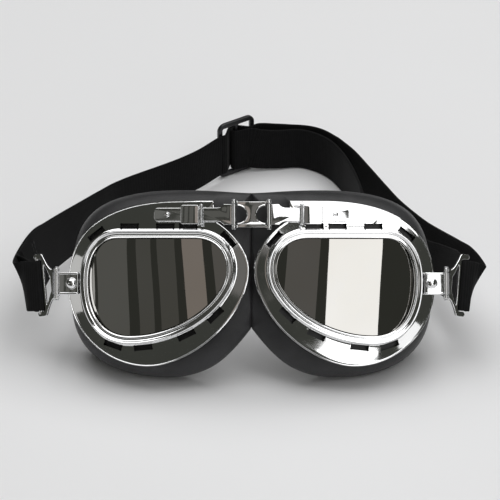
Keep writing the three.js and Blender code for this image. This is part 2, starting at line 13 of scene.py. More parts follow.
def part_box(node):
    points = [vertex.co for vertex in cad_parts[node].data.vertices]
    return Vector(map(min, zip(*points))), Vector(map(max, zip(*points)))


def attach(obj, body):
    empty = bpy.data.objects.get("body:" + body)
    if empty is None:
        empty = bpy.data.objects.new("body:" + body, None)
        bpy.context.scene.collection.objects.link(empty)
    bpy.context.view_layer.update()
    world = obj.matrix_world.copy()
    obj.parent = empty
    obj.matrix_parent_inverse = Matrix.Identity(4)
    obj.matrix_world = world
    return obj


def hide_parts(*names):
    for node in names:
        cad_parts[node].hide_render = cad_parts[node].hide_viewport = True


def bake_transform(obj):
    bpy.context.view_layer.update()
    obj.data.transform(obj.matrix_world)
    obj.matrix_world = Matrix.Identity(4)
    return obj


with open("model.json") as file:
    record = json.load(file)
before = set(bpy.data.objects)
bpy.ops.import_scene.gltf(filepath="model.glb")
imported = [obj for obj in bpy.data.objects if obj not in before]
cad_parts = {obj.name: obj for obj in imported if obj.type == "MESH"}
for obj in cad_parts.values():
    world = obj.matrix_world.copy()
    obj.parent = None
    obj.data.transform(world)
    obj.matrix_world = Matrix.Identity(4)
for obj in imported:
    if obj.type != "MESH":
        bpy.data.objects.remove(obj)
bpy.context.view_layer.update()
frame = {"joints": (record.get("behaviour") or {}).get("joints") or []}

# ---- the frames that the pieces are drawn in -------------------------------------------------

MM = 0.001
JOINTS = {j["name"]: j for j in frame["joints"]}
BRIDGE = dict(x=8.6, y=-0.9, z=33.8, low=27.2, high=40.4)
SIDE_PIN = dict(x=97.0, y=-0.9)
HOOK_SWING = math.radians(26)
HOOK_TILT = math.radians(6)
HOOK_BAR = 11.1
EYE = np.array((46.0, 0.0))
GAP = 0.3

pin_right = Vector(JOINTS["right_bridge_hinge"]["pos_m"])
pin_left = Vector(JOINTS["left_bridge_hinge"]["pos_m"])
side_right = Vector(JOINTS["right_hook_hinge"]["pos_m"])
RIGHT = Vector((1, 0, 0))
UP = Vector(JOINTS["right_bridge_hinge"]["axis"]).normalized()
BACK = UP.cross(RIGHT)
FACE_MIDDLE = (pin_right + pin_left) / 2 - BACK * BRIDGE["y"] * MM - UP * BRIDGE["z"] * MM
WRAP = math.atan2((side_right - pin_right).dot(BACK), (side_right - pin_right).dot(RIGHT))


def basis(x, y, z, at):
    m = Matrix.Identity(4)
    for column, v in enumerate((x, y, z)):
        m.col[column] = (v.x * MM, v.y * MM, v.z * MM, 0)
    m.translation = at
    return m


FACE = basis(RIGHT, BACK, UP, FACE_MIDDLE)
SIDES = {"left": -1, "right": 1}
HALF = {side: FACE @ Matrix.Scale(sign, 4, (1, 0, 0)) for side, sign in SIDES.items()}
SWEEP = (Matrix.Translation((BRIDGE["x"], BRIDGE["y"], 0)) @ Matrix.Rotation(WRAP, 4, "Z")
         @ Matrix.Translation((-BRIDGE["x"], -BRIDGE["y"], 0)))
CUP = {side: HALF[side] @ SWEEP for side in SIDES}
HOOK = {side: CUP[side] @ Matrix.Translation((SIDE_PIN["x"], SIDE_PIN["y"], 0))
        @ Matrix.Rotation(HOOK_SWING, 4, "Z") for side in SIDES}
GRIP = {side: HOOK[side] @ Matrix.Rotation(HOOK_TILT, 4, "Y") for side in SIDES}
slider_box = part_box("strap_slider")
SLIDER_AXIS = Vector(JOINTS["slider_slide"]["axis"]).normalized()
SLIDER_AT = (slider_box[0] + slider_box[1]) / 2
SLIDER = basis(SLIDER_AXIS, Vector((0, 0, 1)).cross(SLIDER_AXIS), Vector((0, 0, 1)), SLIDER_AT)
TABLE = basis(RIGHT, Vector((0, 1, 0)), Vector((0, 0, 1)), Vector((FACE_MIDDLE.x, FACE_MIDDLE.y, 0)))

# ---- materials --------------------------------------------------------------------------------

RIB_PITCH = 0.00115
CORD_PITCH = 0.0011


class Shader:
    """A small builder for one procedural material."""

    def __init__(self, name, color, roughness, metallic=0.0, **sockets):
        self.material = bpy.data.materials.new(name)
        self.material.use_nodes = True
        self.tree = self.material.node_tree
        self.bsdf = self.tree.nodes["Principled BSDF"]
        self.bsdf.inputs["Base Color"].default_value = (*color, 1)
        self.bsdf.inputs["Roughness"].default_value = roughness
        self.bsdf.inputs["Metallic"].default_value = metallic
        for key, value in sockets.items():
            self.bsdf.inputs[key.replace("_", " ")].default_value = value
        self.coords = self.node("ShaderNodeTexCoord")

    def node(self, kind, **settings):
        made = self.tree.nodes.new(kind)
        for key, value in settings.items():
            if key in made.inputs:
                made.inputs[key].default_value = value
            else:
                setattr(made, key, value)
        return made

    def link(self, output, target):
        self.tree.links.new(output, target)

    def space(self, scale=(1, 1, 1), source="Object"):
        mapping = self.node("ShaderNodeMapping")
        mapping.inputs["Scale"].default_value = scale
        self.link(self.coords.outputs[source], mapping.inputs["Vector"])
        return mapping.outputs["Vector"]

    def noise(self, scale, detail=3, stretch=(1, 1, 1), distortion=0):
        made = self.node("ShaderNodeTexNoise", Scale=scale, Detail=detail, Distortion=distortion)
        self.link(self.space(stretch), made.inputs["Vector"])
        return made.outputs["Fac"]

    def cells(self, scale):
        made = self.node("ShaderNodeTexVoronoi", feature="DISTANCE_TO_EDGE", Scale=scale)
        self.link(self.space(), made.inputs["Vector"])
        return made.outputs["Distance"]

    def ramp(self, value, stops):
        made = self.node("ShaderNodeValToRGB")
        ramp = made.color_ramp
        while len(ramp.elements) < len(stops):
            ramp.elements.new(0.5)
        for element, (at, color) in zip(ramp.elements, stops):
            element.position = at
            element.color = (*color, 1)
        self.link(value, made.inputs["Fac"])
        return made.outputs["Color"]

    def spread(self, value, low, high, from_low=0.0, from_high=1.0):
        made = self.node("ShaderNodeMapRange")
        limits = {"From Min": from_low, "From Max": from_high, "To Min": low, "To Max": high}
        for key, number in limits.items():
            made.inputs[key].default_value = number
        self.link(value, made.inputs["Value"])
        return made.outputs["Result"]

    def math(self, operation, a, b):
        made = self.node("ShaderNodeMath", operation=operation)
        for socket, value in zip(made.inputs, (a, b)):
            if isinstance(value, (int, float)):
                socket.default_value = value
            else:
                self.link(value, socket)
        return made.outputs["Value"]

    def color(self, output):
        self.link(output, self.bsdf.inputs["Base Color"])

    def roughness(self, output):
        self.link(output, self.bsdf.inputs["Roughness"])

    def bumps(self, *layers):
        """Each layer is (height, strength, distance in metres)."""
        last = None
        for height, strength, distance in layers:
            bump = self.node("ShaderNodeBump")
            bump.inputs["Strength"].default_value = strength
            bump.inputs["Distance"].default_value = distance
            self.link(height, bump.inputs["Height"])
            if last is not None:
                self.link(last, bump.inputs["Normal"])
            last = bump.outputs["Normal"]
        self.link(last, self.bsdf.inputs["Normal"])


def chrome_material():
    s = Shader("chrome", (0.86, 0.87, 0.88), 0.05, 1.0)
    smudge = s.noise(90, 5)
    s.roughness(s.spread(smudge, 0.03, 0.11, 0.35, 0.75))
    s.color(s.ramp(s.noise(35, 3), ((0.3, (0.83, 0.835, 0.84)), (0.7, (0.9, 0.9, 0.905)))))
    s.bumps((s.noise(75, 1), 0.35, 0.00012), (s.noise(900, 3), 0.04, 0.00005))
    return s.material


def steel_material():
    s = Shader("bright_steel", (0.8, 0.81, 0.82), 0.14, 1.0)
    s.roughness(s.spread(s.noise(1500, 3, (1, 1, 0.1)), 0.1, 0.22))
    s.bumps((s.noise(2500, 2), 0.08, 0.00003),)
    return s.material


def lens_material():
    s = Shader("smoke_mirror", (0.5, 0.49, 0.465), 0.015, 1.0, Coat_Weight=0.5, Coat_Roughness=0.01)
    s.color(s.ramp(s.noise(22, 2), ((0.3, (0.49, 0.475, 0.445)), (0.7, (0.52, 0.51, 0.49)))))
    s.roughness(s.spread(s.noise(160, 6), 0.008, 0.05, 0.5, 0.85))
    s.bumps((s.noise(26, 1, (1, 1, 0.5)), 0.3, 0.00022),)
    return s.material


def plastic_material(name, base, rough):
    s = Shader(name, base, rough)
    s.roughness(s.spread(s.noise(400, 4), rough - 0.06, rough + 0.1))
    s.bumps((s.noise(3200, 3), 0.22, 0.00006), (s.noise(120, 2), 0.1, 0.0002))
    return s.material


def leather_material():
    s = Shader("soft_black_leather", (0.015, 0.015, 0.016), 0.5, Sheen_Weight=0.06, Sheen_Roughness=0.5)
    grain = s.cells(1450)
    fine = s.noise(3800, 4)
    folds = s.noise(85, 4, distortion=0.6)
    s.color(s.ramp(folds, ((0.25, (0.008, 0.008, 0.009)), (0.75, (0.022, 0.022, 0.024)))))
    s.roughness(s.spread(grain, 0.62, 0.44, 0.0, 0.25))
    s.bumps((folds, 0.3, 0.0006), (s.ramp(grain, ((0.0, (0, 0, 0)), (0.22, (1, 1, 1)))), 0.3, 0.00008),
            (fine, 0.15, 0.00005))
    return s.material


def fleece_material():
    s = Shader("black_fleece", (0.02, 0.02, 0.022), 0.95, Sheen_Weight=0.6, Sheen_Roughness=0.35)
    pile = s.noise(2600, 5, distortion=1.2)
    s.color(s.ramp(s.noise(700, 4), ((0.3, (0.010, 0.010, 0.012)), (0.75, (0.034, 0.034, 0.038)))))
    s.bumps((s.noise(240, 3), 0.5, 0.0006), (pile, 0.8, 0.0003))
    return s.material


def webbing_material():
    """Ribs run across the strap: U is along it and V across it, both in metres."""
    s = Shader("elastic_webbing", (0.005, 0.005, 0.005), 0.9, Sheen_Weight=0.04, Sheen_Roughness=0.4,
               Specular_IOR_Level=0.2)
    uv = s.space(source="UV")
    split = s.node("ShaderNodeSeparateXYZ")
    s.link(uv, split.inputs["Vector"])
    along, across = split.outputs["X"], split.outputs["Y"]
    rib = s.math("SINE", s.math("MULTIPLY", along, 2 * math.pi / RIB_PITCH), 0)
    cord = s.math("SINE", s.math("MULTIPLY", across, 2 * math.pi / CORD_PITCH), 0)
    crossing = s.math("MULTIPLY", rib, cord)
    weave = s.math("ADD", s.math("MULTIPLY", rib, 0.6), s.math("MULTIPLY", crossing, 0.4))
    height = s.spread(weave, 0, 1, -1, 1)
    fuzz = s.noise(5200, 3)
    tint = s.math("ADD", s.math("MULTIPLY", height, 0.55), s.math("MULTIPLY", s.noise(420, 4), 0.45))
    s.color(s.ramp(tint, ((0.2, (0.0015, 0.0015, 0.0016)), (0.8, (0.0085, 0.0085, 0.009)))))
    s.bumps((s.noise(60, 2), 0.25, 0.0008), (height, 0.55, 0.00022), (fuzz, 0.3, 0.00008))
    return s.material


def thread_material():
    s = Shader("black_thread", (0.012, 0.012, 0.012), 0.65, Sheen_Weight=0.1)
    s.color(s.ramp(s.noise(4000, 2), ((0.3, (0.006, 0.006, 0.006)), (0.7, (0.022, 0.022, 0.023)))))
    s.bumps((s.noise(6000, 2), 0.4, 0.00006),)
    return s.material


CHROME = chrome_material()
STEEL = steel_material()
LENS = lens_material()
RETAINER = plastic_material("retainer_plastic", (0.012, 0.012, 0.013), 0.38)
SLIDER_PLASTIC = plastic_material("slider_plastic", (0.014, 0.014, 0.016), 0.3)
LEATHER = leather_material()
FLEECE = fleece_material()
WEBBING = webbing_material()
THREAD = thread_material()

# ---- mesh helpers ------------------------------------------------------------------------------


def piece(name, shape, matrix, material, body=None, stands_for=(), sharp=35.0, uv=None):
    """A mesh object from (points in mm, faces), placed by a matrix into the row frame."""
    points, faces = shape
    points = np.asarray(points, float)
    m = np.array(matrix)
    placed = points @ m[:3, :3].T + m[:3, 3]
    if np.linalg.det(m[:3, :3]) < 0:
        faces = [tuple(reversed(f)) for f in faces]
        if uv is not None:
            uv = [tuple(reversed(corner)) for corner in uv]
    mesh = bpy.data.meshes.new(name)
    mesh.from_pydata(placed.tolist(), [], [tuple(int(i) for i in f) for f in faces])
    mesh.validate()
    if uv is not None:
        layer = mesh.uv_layers.new(name="UVMap")
        layer.data.foreach_set("uv", np.array([c for corner in uv for c in corner], float).ravel())
    mesh.materials.append(material)
    mesh.update()
    mesh.shade_smooth()
    mesh.set_sharp_from_angle(angle=math.radians(sharp))
    made = bpy.data.objects.new(name, mesh)
    bpy.context.scene.collection.objects.link(made)
    if body:
        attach(made, body)
    if stands_for:
        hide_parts(*stands_for)
    return made


def merge(*shapes):
    points, faces, base = [], [], 0
    for p, f in shapes:
        points.extend(np.asarray(p, float).tolist())
        faces.extend([tuple(i + base for i in face) for face in f])
        base += len(p)
    return points, faces


def moved(shape, matrix):
    m = np.array(matrix)
    points = np.asarray(shape[0], float) @ m[:3, :3].T + m[:3, 3]
    return points, shape[1]


def grid(rows, closed_rows=True, closed_columns=True, caps=False):
    """A quad mesh over rows of points; each row holds the same number."""
    rows = [np.asarray(r, float) for r in rows]
    n, m = len(rows), len(rows[0])
    faces = []
    for i in range(n if closed_rows else n - 1):
        for j in range(m if closed_columns else m - 1):
            a, b = i, (i + 1) % n
            c, d = j, (j + 1) % m
            faces.append((a * m + c, a * m + d, b * m + d, b * m + c))
    if caps:
        faces.append(tuple(reversed(range(m))))
        faces.append(tuple((n - 1) * m + j for j in range(m)))
    return np.concatenate(rows), faces


def plate(outlines, back, thickness, bevel, rounds=2):
    """A flat plate with soft edges from an outline and its holes, each a list of (x, z)."""
    curve = bpy.data.curves.new("outline", "CURVE")
    curve.dimensions = "2D"
    curve.fill_mode = "BOTH"
    curve.extrude = thickness / 2 - bevel
    curve.bevel_depth = bevel
    curve.bevel_resolution = rounds
    curve.offset = -bevel
    for outline in outlines:
        spline = curve.splines.new("POLY")
        spline.points.add(len(outline) - 1)
        for point, (x, z) in zip(spline.points, outline):
            point.co = (x, z, 0, 1)
        spline.use_cyclic_u = True
    holder = bpy.data.objects.new("outline", curve)
    bpy.context.scene.collection.objects.link(holder)
    mesh = bpy.data.meshes.new_from_object(holder.evaluated_get(bpy.context.evaluated_depsgraph_get()))
    bpy.data.objects.remove(holder)
    bm = bmesh.new()
    bm.from_mesh(mesh)
    bmesh.ops.remove_doubles(bm, verts=bm.verts, dist=1e-4)
    bmesh.ops.recalc_face_normals(bm, faces=bm.faces)
    points = [(v.co.x, back - thickness / 2 - v.co.z, v.co.y) for v in bm.verts]
    faces = [tuple(v.index for v in f.verts) for f in bm.faces]
    bm.free()
    bpy.data.meshes.remove(mesh)
    return points, faces


def arc(x, z, radius, start, end, count=8):
    turns = np.radians(np.linspace(start, end, count))
    return [(x + radius * math.cos(t), z + radius * math.sin(t)) for t in turns]


def rounded_box(x0, x1, z0, z1, radius, count=6):
    return (arc(x1 - radius, z0 + radius, radius, -90, 0, count)
            + arc(x1 - radius, z1 - radius, radius, 0, 90, count)
            + arc(x0 + radius, z1 - radius, radius, 90, 180, count)
            + arc(x0 + radius, z0 + radius, radius, 180, 270, count))


def bezier(points, count=24):
    """Points along one cubic (or, with three points, quadratic) segment, without its last point."""
    p = [np.array(q, float) for q in points]
    out = []
    for t in np.linspace(0, 1, count, endpoint=False):
        level = p
        while len(level) > 1:
            level = [a + (b - a) * t for a, b in zip(level, level[1:])]
        out.append(tuple(level[0]))
    return out


def tube(path, radius, sides):
    """A round tube along points in 3-D. radius is a number or one number per point."""
    path = np.asarray(path, float)
    n = len(path)
    radii = np.full(n, radius) if np.isscalar(radius) else np.asarray(radius, float)
    ahead = np.gradient(path, axis=0)
    ahead /= np.linalg.norm(ahead, axis=1)[:, None]
    side = np.cross(ahead[0], (0.2, 1, 0.1))
    rows = []
    for i in range(n):
        side = side - ahead[i] * side.dot(ahead[i])
        side /= np.linalg.norm(side)
        other = np.cross(ahead[i], side)
        turns = np.linspace(0, 2 * math.pi, sides, endpoint=False)
        rows.append([path[i] + radii[i] * (side * math.cos(t) + other * math.sin(t)) for t in turns])
    return grid(rows, closed_rows=False, caps=True)


def lathe(profile, at, axis="y", sides=32):
    """A turned piece: profile is (radius, height) from the axis outwards and back to it."""
    rows = []
    for t in np.linspace(0, 2 * math.pi, sides, endpoint=False):
        row = []
        for r, h in profile:
            a, b = r * math.cos(t), r * math.sin(t)
            row.append((a, h, b) if axis == "y" else (a, b, h))
        rows.append(row)
    points, faces = grid(rows, closed_columns=False)
    bm = bmesh.new()
    made = [bm.verts.new(Vector(p) + Vector(at)) for p in points]
    for f in faces:
        bm.faces.new([made[i] for i in f])
    bmesh.ops.remove_doubles(bm, verts=bm.verts, dist=1e-5)
    bmesh.ops.recalc_face_normals(bm, faces=bm.faces)
    bm.verts.index_update()
    shape = [tuple(v.co) for v in bm.verts], [tuple(v.index for v in f.verts) for f in bm.faces]
    bm.free()
    return shape


def wire_pin(x, y, low, high, radius, head):
    """A wire along z with a low flat head outside each end."""
    profile = [(0, low - 0.5), (head - 0.25, low - 0.5), (head - 0.07, low - 0.42),
               (head, low - 0.25), (head, low - 0.08), (head - 0.08, low), (radius, low)]
    profile += [(r, low + high - z) for r, z in reversed(profile)]
    return lathe(profile, (x, y, 0), axis="z", sides=24)


def dome(x, z, back, radius, height, sides=36):
    """A rivet head facing forwards, with a thin rim round its foot."""
    profile = [(0, back), (radius, back), (radius, back - 0.35), (radius - 0.15, back - 0.5)]
    profile += [((radius - 0.45) * math.cos(t), back - 0.45 - (height - 0.45) * math.sin(t))
                for t in np.linspace(0.05, math.pi / 2, 9)]
    profile[-1] = (0, profile[-1][1])
    return lathe(profile, (x, 0, z), sides=sides)


# ---- outlines of one eye -------------------------------------------------------------------------

LENS_EDGE = (bezier([(28, 22.2), (12, 22.2), (9, 7), (14.5, -2.2)], 40)
             + bezier([(14.5, -2.2), (24, -18), (44, -25.8), (60, -25.8)], 60)
             + bezier([(60, -25.8), (74.5, -25.8), (80.7, -14), (80.7, 1)], 50)
             + bezier([(80.7, 1), (80.7, 13.5), (75.5, 22.2), (66, 22.2)], 40)
             + bezier([(66, 22.2), (28, 22.2)], 40))
# The flange's short edge beside the nose, from its top corner down.
SHOULDER = [(19.4, 40.4), (19.3, 39.6), (18.95, 33.8), (18.9, 33), (18.6, 32.2), (17.4, 30.2)]
FLANGE_EDGE = (SHOULDER
               + bezier([(17, 29.9), (7.5, 24), (1.7, 14), (1.7, 6.6)], 40)
               + bezier([(1.7, 6.6), (1.7, -16), (30, -40.5), (52, -40.5)], 70)
               + bezier([(52, -40.5), (72, -40.5), (91.4, -24), (91.4, -1)], 60)
               + bezier([(91.4, -1), (91.4, 31), (66, 40.4), (36, 40.4)], 70)
               + bezier([(36, 40.4), (19.8, 40.4)], 10))
PAD_EDGE = (bezier([(0, 44.3), (0, -21.3)], 40)
            + bezier([(0, -21.3), (9, -33), (22, -46.2), (44, -46.2)], 60)
            + bezier([(44, -46.2), (78, -46.2), (95, -30), (92.4, -6)], 60)
            + bezier([(92.4, -6), (94.5, 30), (86, 46.2), (36, 45.8)], 70)
            + bezier([(36, 45.8), (22, 45.8), (10, 44.5), (0, 44.3)], 30))


class Outline:
    """A closed outline seen from the middle of the eye: how far it lies in each direction."""

    def __init__(self, points):
        p = np.asarray(points, float)
        dense = np.concatenate([np.linspace(a, b, 12, endpoint=False) for a, b in zip(p, np.roll(p, -1, 0))])
        rel = dense - EYE
        turn = np.arctan2(rel[:, 1], rel[:, 0]) % (2 * math.pi)
        order = np.argsort(turn)
        self.turn = turn[order]
        self.far = np.hypot(rel[:, 0], rel[:, 1])[order]
        self.points = p

    def reach(self, turn):
        return np.interp(np.asarray(turn) % (2 * math.pi), self.turn, self.far, period=2 * math.pi)

    def offset(self, distance):
        p = self.points
        along = np.roll(p, -1, 0) - np.roll(p, 1, 0)
        along /= np.linalg.norm(along, axis=1)[:, None]
        return Outline(p + distance * np.stack((along[:, 1], -along[:, 0]), 1))

    def at(self, turn, shift=0.0):
        r = self.reach(turn) + shift
        return np.stack((EYE[0] + r * np.cos(turn), EYE[1] + r * np.sin(turn)), -1)


lens_edge, flange_edge, pad_edge = Outline(LENS_EDGE), Outline(FLANGE_EDGE), Outline(PAD_EDGE)


def even_turns(outline, count, corners=()):
    """Directions whose points lie evenly along an outline, with each corner among them."""
    fine = np.linspace(0, 2 * math.pi, 4000)
    at = outline.at(fine)
    run = np.concatenate(([0], np.cumsum(np.linalg.norm(np.diff(at, axis=0), axis=1))))
    turns = list(np.interp(np.linspace(0, run[-1], count, endpoint=False), run, fine))
    turns += [math.atan2(z - EYE[1], x - EYE[0]) % (2 * math.pi) for x, z in corners]
    turns = np.sort(np.array(turns))
    keep = np.concatenate(([True], np.diff(turns) > 1e-4))
    return turns[keep]


def row_at(at, depth):
    """Places in the plane of the face, each set back to its depth."""
    return np.stack((at[:, 0], np.broadcast_to(depth, len(at)), at[:, 1]), 1)


def ring(stations, turns):
    """stations are (outline, shift, depth); depth is a number or a function of x and z."""
    rows = []
    for outline, shift, depth in stations:
        at = outline.at(turns, shift)
        rows.append(row_at(at, depth(at[:, 0], at[:, 1]) if callable(depth) else depth))
    return grid(list(np.stack(rows, 1)))


# ---- the lens frames ---------------------------------------------------------------------------

RIM = 4.2
FLANGE_DROP = 2.2
LENS_RADIUS = 190
# The pressed double bead round a lens: distance outside the lens edge, and depth.
RIM_PROFILE = [
    (0.0, 1.2), (0.0, -2.5), (0.02, -3.1), (0.1, -3.45), (0.27, -3.7), (0.5, -3.8), (0.75, -3.7),
    (0.98, -3.42), (1.2, -3.12), (1.5, -2.98), (1.85, -2.98), (2.2, -3.1), (2.55, -3.35),
    (2.85, -3.65), (3.1, -3.95),
    (3.35, -4.12), (3.6, -4.12), (3.85, -3.95), (4.05, -3.62), (4.15, -3.2), (4.18, -1.1), (4.24, -0.5),
    (4.4, -0.16), (4.7, -0.02),
]


def slot_places():
    line = lens_edge.offset(RIM + 1.75)
    places = []
    for degrees in (148, 117.5, 96.5, 62.5, 38, 209, 241.5, 284, 307):
        turn = math.radians(degrees)
        here = line.at(turn)
        ahead = line.at(turn + 0.04) - line.at(turn - 0.04)
        places.append((here, math.atan2(ahead[1], ahead[0])))
    return places


def slot_outline(length=8.3, width=1.9, knob=0.62):
    """A vent slot with a small round relief in each corner."""
    x, z = length / 2, width / 2
    return (arc(x, -z, knob, -135, 45, 7) + arc(x, z, knob, -45, 135, 7)
            + arc(-x, z, knob, 45, 225, 7) + arc(-x, -z, knob, 135, 315, 7))


def flange_drop(x, width):
    """How far the flange falls back to its edge: a slope that grows from the nose to the outer side."""
    slope = 0.16 + 0.03 * np.clip((x - 15) / 25, 0, 1) + 0.08 * np.clip((x - 55) / 32, 0, 1)
    return np.minimum(FLANGE_DROP, slope * width)


def frame_shape(turns):
    rows = [row_at(lens_edge.offset(out).at(turns), depth) for out, depth in RIM_PROFILE]
    inner, outer = lens_edge.offset(4.7).at(turns), flange_edge.at(turns, -0.45)
    drop = flange_drop(outer[:, 0], np.linalg.norm(outer - inner, axis=1))
    for share in (0.12, 0.25, 0.4, 0.55, 0.7, 0.85, 0.95):
        rows.append(row_at(inner + (outer - inner) * share, drop * share - 0.02))
    for shift, lift in ((-0.45, -0.05), (-0.3, -0.2), (-0.1, -0.27), (0.12, -0.2), (0.25, 0.0)):
        rows.append(row_at(flange_edge.at(turns, shift), drop + lift))
    for shift, depth in ((0.2, 2.5), (0.0, 2.9), (-0.3, 3.2), (-0.8, 3.1)):
        rows.append(row_at(flange_edge.at(turns, shift), depth))
    for share in (0.7, 0.35, 0.0):
        rows.append(row_at(inner + (outer - inner) * share, drop * share + 0.9))
    rows.append(row_at(lens_edge.offset(3.0).at(turns), 1.2))
    return grid(list(np.stack(rows, 1)))


def cut_with(target, cutters):
    """Cuts solid pieces out of an object, and leaves no modifier behind."""
    for cutter in cutters:
        modifier = target.modifiers.new("cut", "BOOLEAN")
        modifier.object = cutter
        modifier.operation = "DIFFERENCE"
        modifier.solver = "EXACT"
    bpy.context.view_layer.update()
    mesh = bpy.data.meshes.new_from_object(target.evaluated_get(bpy.context.evaluated_depsgraph_get()))
    target.modifiers.clear()
    old = target.data
    target.data = mesh
    mesh.name = target.name
    bpy.data.meshes.remove(old)
    for cutter in cutters:
        bpy.data.objects.remove(cutter)
    mesh.shade_smooth()
    mesh.set_sharp_from_angle(angle=math.radians(32))


def lens_frame(side):
    turns = even_turns(flange_edge, 300, SHOULDER)
    made = piece(f"chrome_frame_{side}", frame_shape(turns), CUP[side], CHROME,
                 stands_for=[f"lens_frame_{side}"])
    cutters = []
    for (x, z), turn in slot_places():
        place = Matrix.Translation((x, 0, z)) @ Matrix.Rotation(-turn, 4, "Y")
        shape = moved(plate([slot_outline()], 5.0, 9.0, bevel=0.02, rounds=0), place)
        cutters.append(piece("slot_tool", shape, CUP[side], CHROME))
    cut_with(made, cutters)
    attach(made, f"{side}_eyecup")


def lens(side):
    """A curved sheet, drawn in columns from its lower edge to its upper one."""
    p = lens_edge.offset(-0.35).points
    q = np.roll(p, -1, 0)
    x0, x1 = p[:, 0].min() + 0.05, p[:, 0].max() - 0.05
    rows = []
    for x in (x0 + x1) / 2 - (x1 - x0) / 2 * np.cos(np.linspace(0, math.pi, 150)):
        hit = ((p[:, 0] - x) * (q[:, 0] - x) <= 0) & (np.abs(q[:, 0] - p[:, 0]) > 1e-9)
        z = p[hit, 1] + (q[hit, 1] - p[hit, 1]) * (x - p[hit, 0]) / (q[hit, 0] - p[hit, 0])
        front = [(z, -3.5 + (x - EYE[0] - 0.1 * z) ** 2 / (2 * LENS_RADIUS))
                 for z in np.linspace(z.min(), z.max(), 12)]
        rows.append([(x, y + 1.6, z) for z, y in front] + [(x, y, z) for z, y in reversed(front)])
    piece(f"smoke_lens_{side}", grid(rows, closed_rows=False, caps=True), CUP[side], LENS,
          f"{side}_eyecup", [f"lens_{side}"], sharp=40)


def retainer(side):
    turns = even_turns(flange_edge, 160, SHOULDER)
    inner, step = lens_edge.offset(-2), lens_edge.offset(2)
    stations = [(inner, 0.4, 5.9), (inner, 0, 5.5), (inner, 0, 2.4), (inner, 0.4, 2.0),
                (step, 0, 2.0), (step, 0, 4.4), (flange_edge, -3.6, 4.4), (flange_edge, -3.4, 4.7),
                (flange_edge, -3.4, 5.6), (flange_edge, -3.7, 5.9)]
    piece(f"retainer_ring_{side}", ring(stations, turns), CUP[side], RETAINER,
          f"{side}_eyecup", [f"lens_retainer_{side}"])


# ---- the small metalwork of one eyecup -----------------------------------------------------------

MIDDLE = (BRIDGE["low"] + BRIDGE["high"]) / 2


def barrel(x, y, low, high, radius, bore):
    """A hinge knuckle along z, with broken edges."""
    rim = 0.12
    profile = [(bore, low), (radius - rim, low), (radius, low + rim),
               (radius, high - rim), (radius - rim, high), (bore, high)]
    rows = []
    for t in np.linspace(0, 2 * math.pi, 28, endpoint=False):
        rows.append([(x + r * math.cos(t), y + r * math.sin(t), h) for r, h in profile])
    return grid(rows)


def tongue(side):
    half = 3.3
    x0 = BRIDGE["x"] + 0.9
    lower = ([(x0, BRIDGE["low"] + 1.6), (13.4, BRIDGE["low"] + 1.5)]
             + bezier([(13.8, BRIDGE["low"] + 1.7), (15.0, MIDDLE - half), (17.4, MIDDLE - half)], 8)
             + [(30, MIDDLE - half)] + arc(46.4, MIDDLE - half + 1.9, 1.9, -90, 0, 7))
    upper = [(x, 2 * MIDDLE - z) for x, z in reversed(lower)]
    strip = plate([lower + upper], 0.05, 1.1, bevel=0.28, rounds=3)
    knuckle = barrel(BRIDGE["x"], BRIDGE["y"], BRIDGE["low"] + 1.55, BRIDGE["high"] - 1.55, 1.25, 0.75)
    piece(f"tongue_{side}", merge(strip, knuckle), CUP[side], CHROME, f"{side}_eyecup",
          [f"hinge_tongue_{side}"])


def keeper(side):
    cap = plate([rounded_box(25.9, 34.9, MIDDLE - 4.7, MIDDLE + 4.7, 1.0)], -1.45, 1.0, bevel=0.3, rounds=3)
    upper = plate([rounded_box(26.3, 34.5, MIDDLE + 3.6, MIDDLE + 4.55, 0.3, 3)], 1.25, 2.8, bevel=0.12)
    lower = plate([rounded_box(26.3, 34.5, MIDDLE - 4.55, MIDDLE - 3.6, 0.3, 3)], 0.1, 1.7, bevel=0.12)
    piece(f"belt_keeper_{side}", merge(cap, upper, lower), CUP[side], CHROME,
          f"{side}_eyecup", [f"tongue_keeper_{side}"])


def small_parts(side):
    body = f"{side}_eyecup"
    bar = wire_pin(24.6, -2.2, MIDDLE - 4.6, MIDDLE + 4.6, 0.75, 1.0)
    piece(f"roller_bar_{side}", bar, CUP[side], STEEL, body, [f"keeper_bar_{side}"])
    stud = dome(41.6, MIDDLE, -1.1, 1.25, 0.95, 24)
    piece(f"tongue_stud_{side}", stud, CUP[side], CHROME, body, [f"tongue_rivet_{side}"])
    pin = wire_pin(SIDE_PIN["x"], SIDE_PIN["y"], -7.8, 7.8, 0.6, 1.1)
    piece(f"side_pin_{side}", pin, CUP[side], STEEL, body, [f"hook_pin_{side}"])
    piece(f"dome_rivet_{side}", dome(89.3, 0, -2.2, 2.95, 2.0), CUP[side], CHROME, body,
          [f"bracket_rivet_{side}"])


def bracket(side):
    seat = plate([rounded_box(86.0, 95.6, -5.45, 5.45, 0.5)], -0.5, 1.6, bevel=0.3, rounds=3)
    ribs = [plate([rounded_box(86.3, 95.3, z - 0.5, z + 0.5, 0.35, 4)], -1.6, 1.0, bevel=0.3, rounds=3)
            for z in (-4.9, 4.9)]
    feet = [plate([rounded_box(87.6, 90.8, z, z + 1, 0.2, 3)], 0.4, 1.2, bevel=0.1) for z in (-5.35, 4.35)]
    knuckle = barrel(SIDE_PIN["x"], SIDE_PIN["y"], -5.45, 5.45, 1.4, 0.85)
    piece(f"bracket_{side}", merge(seat, *ribs, *feet, knuckle), CUP[side], CHROME,
          f"{side}_eyecup", [f"side_bracket_{side}"])


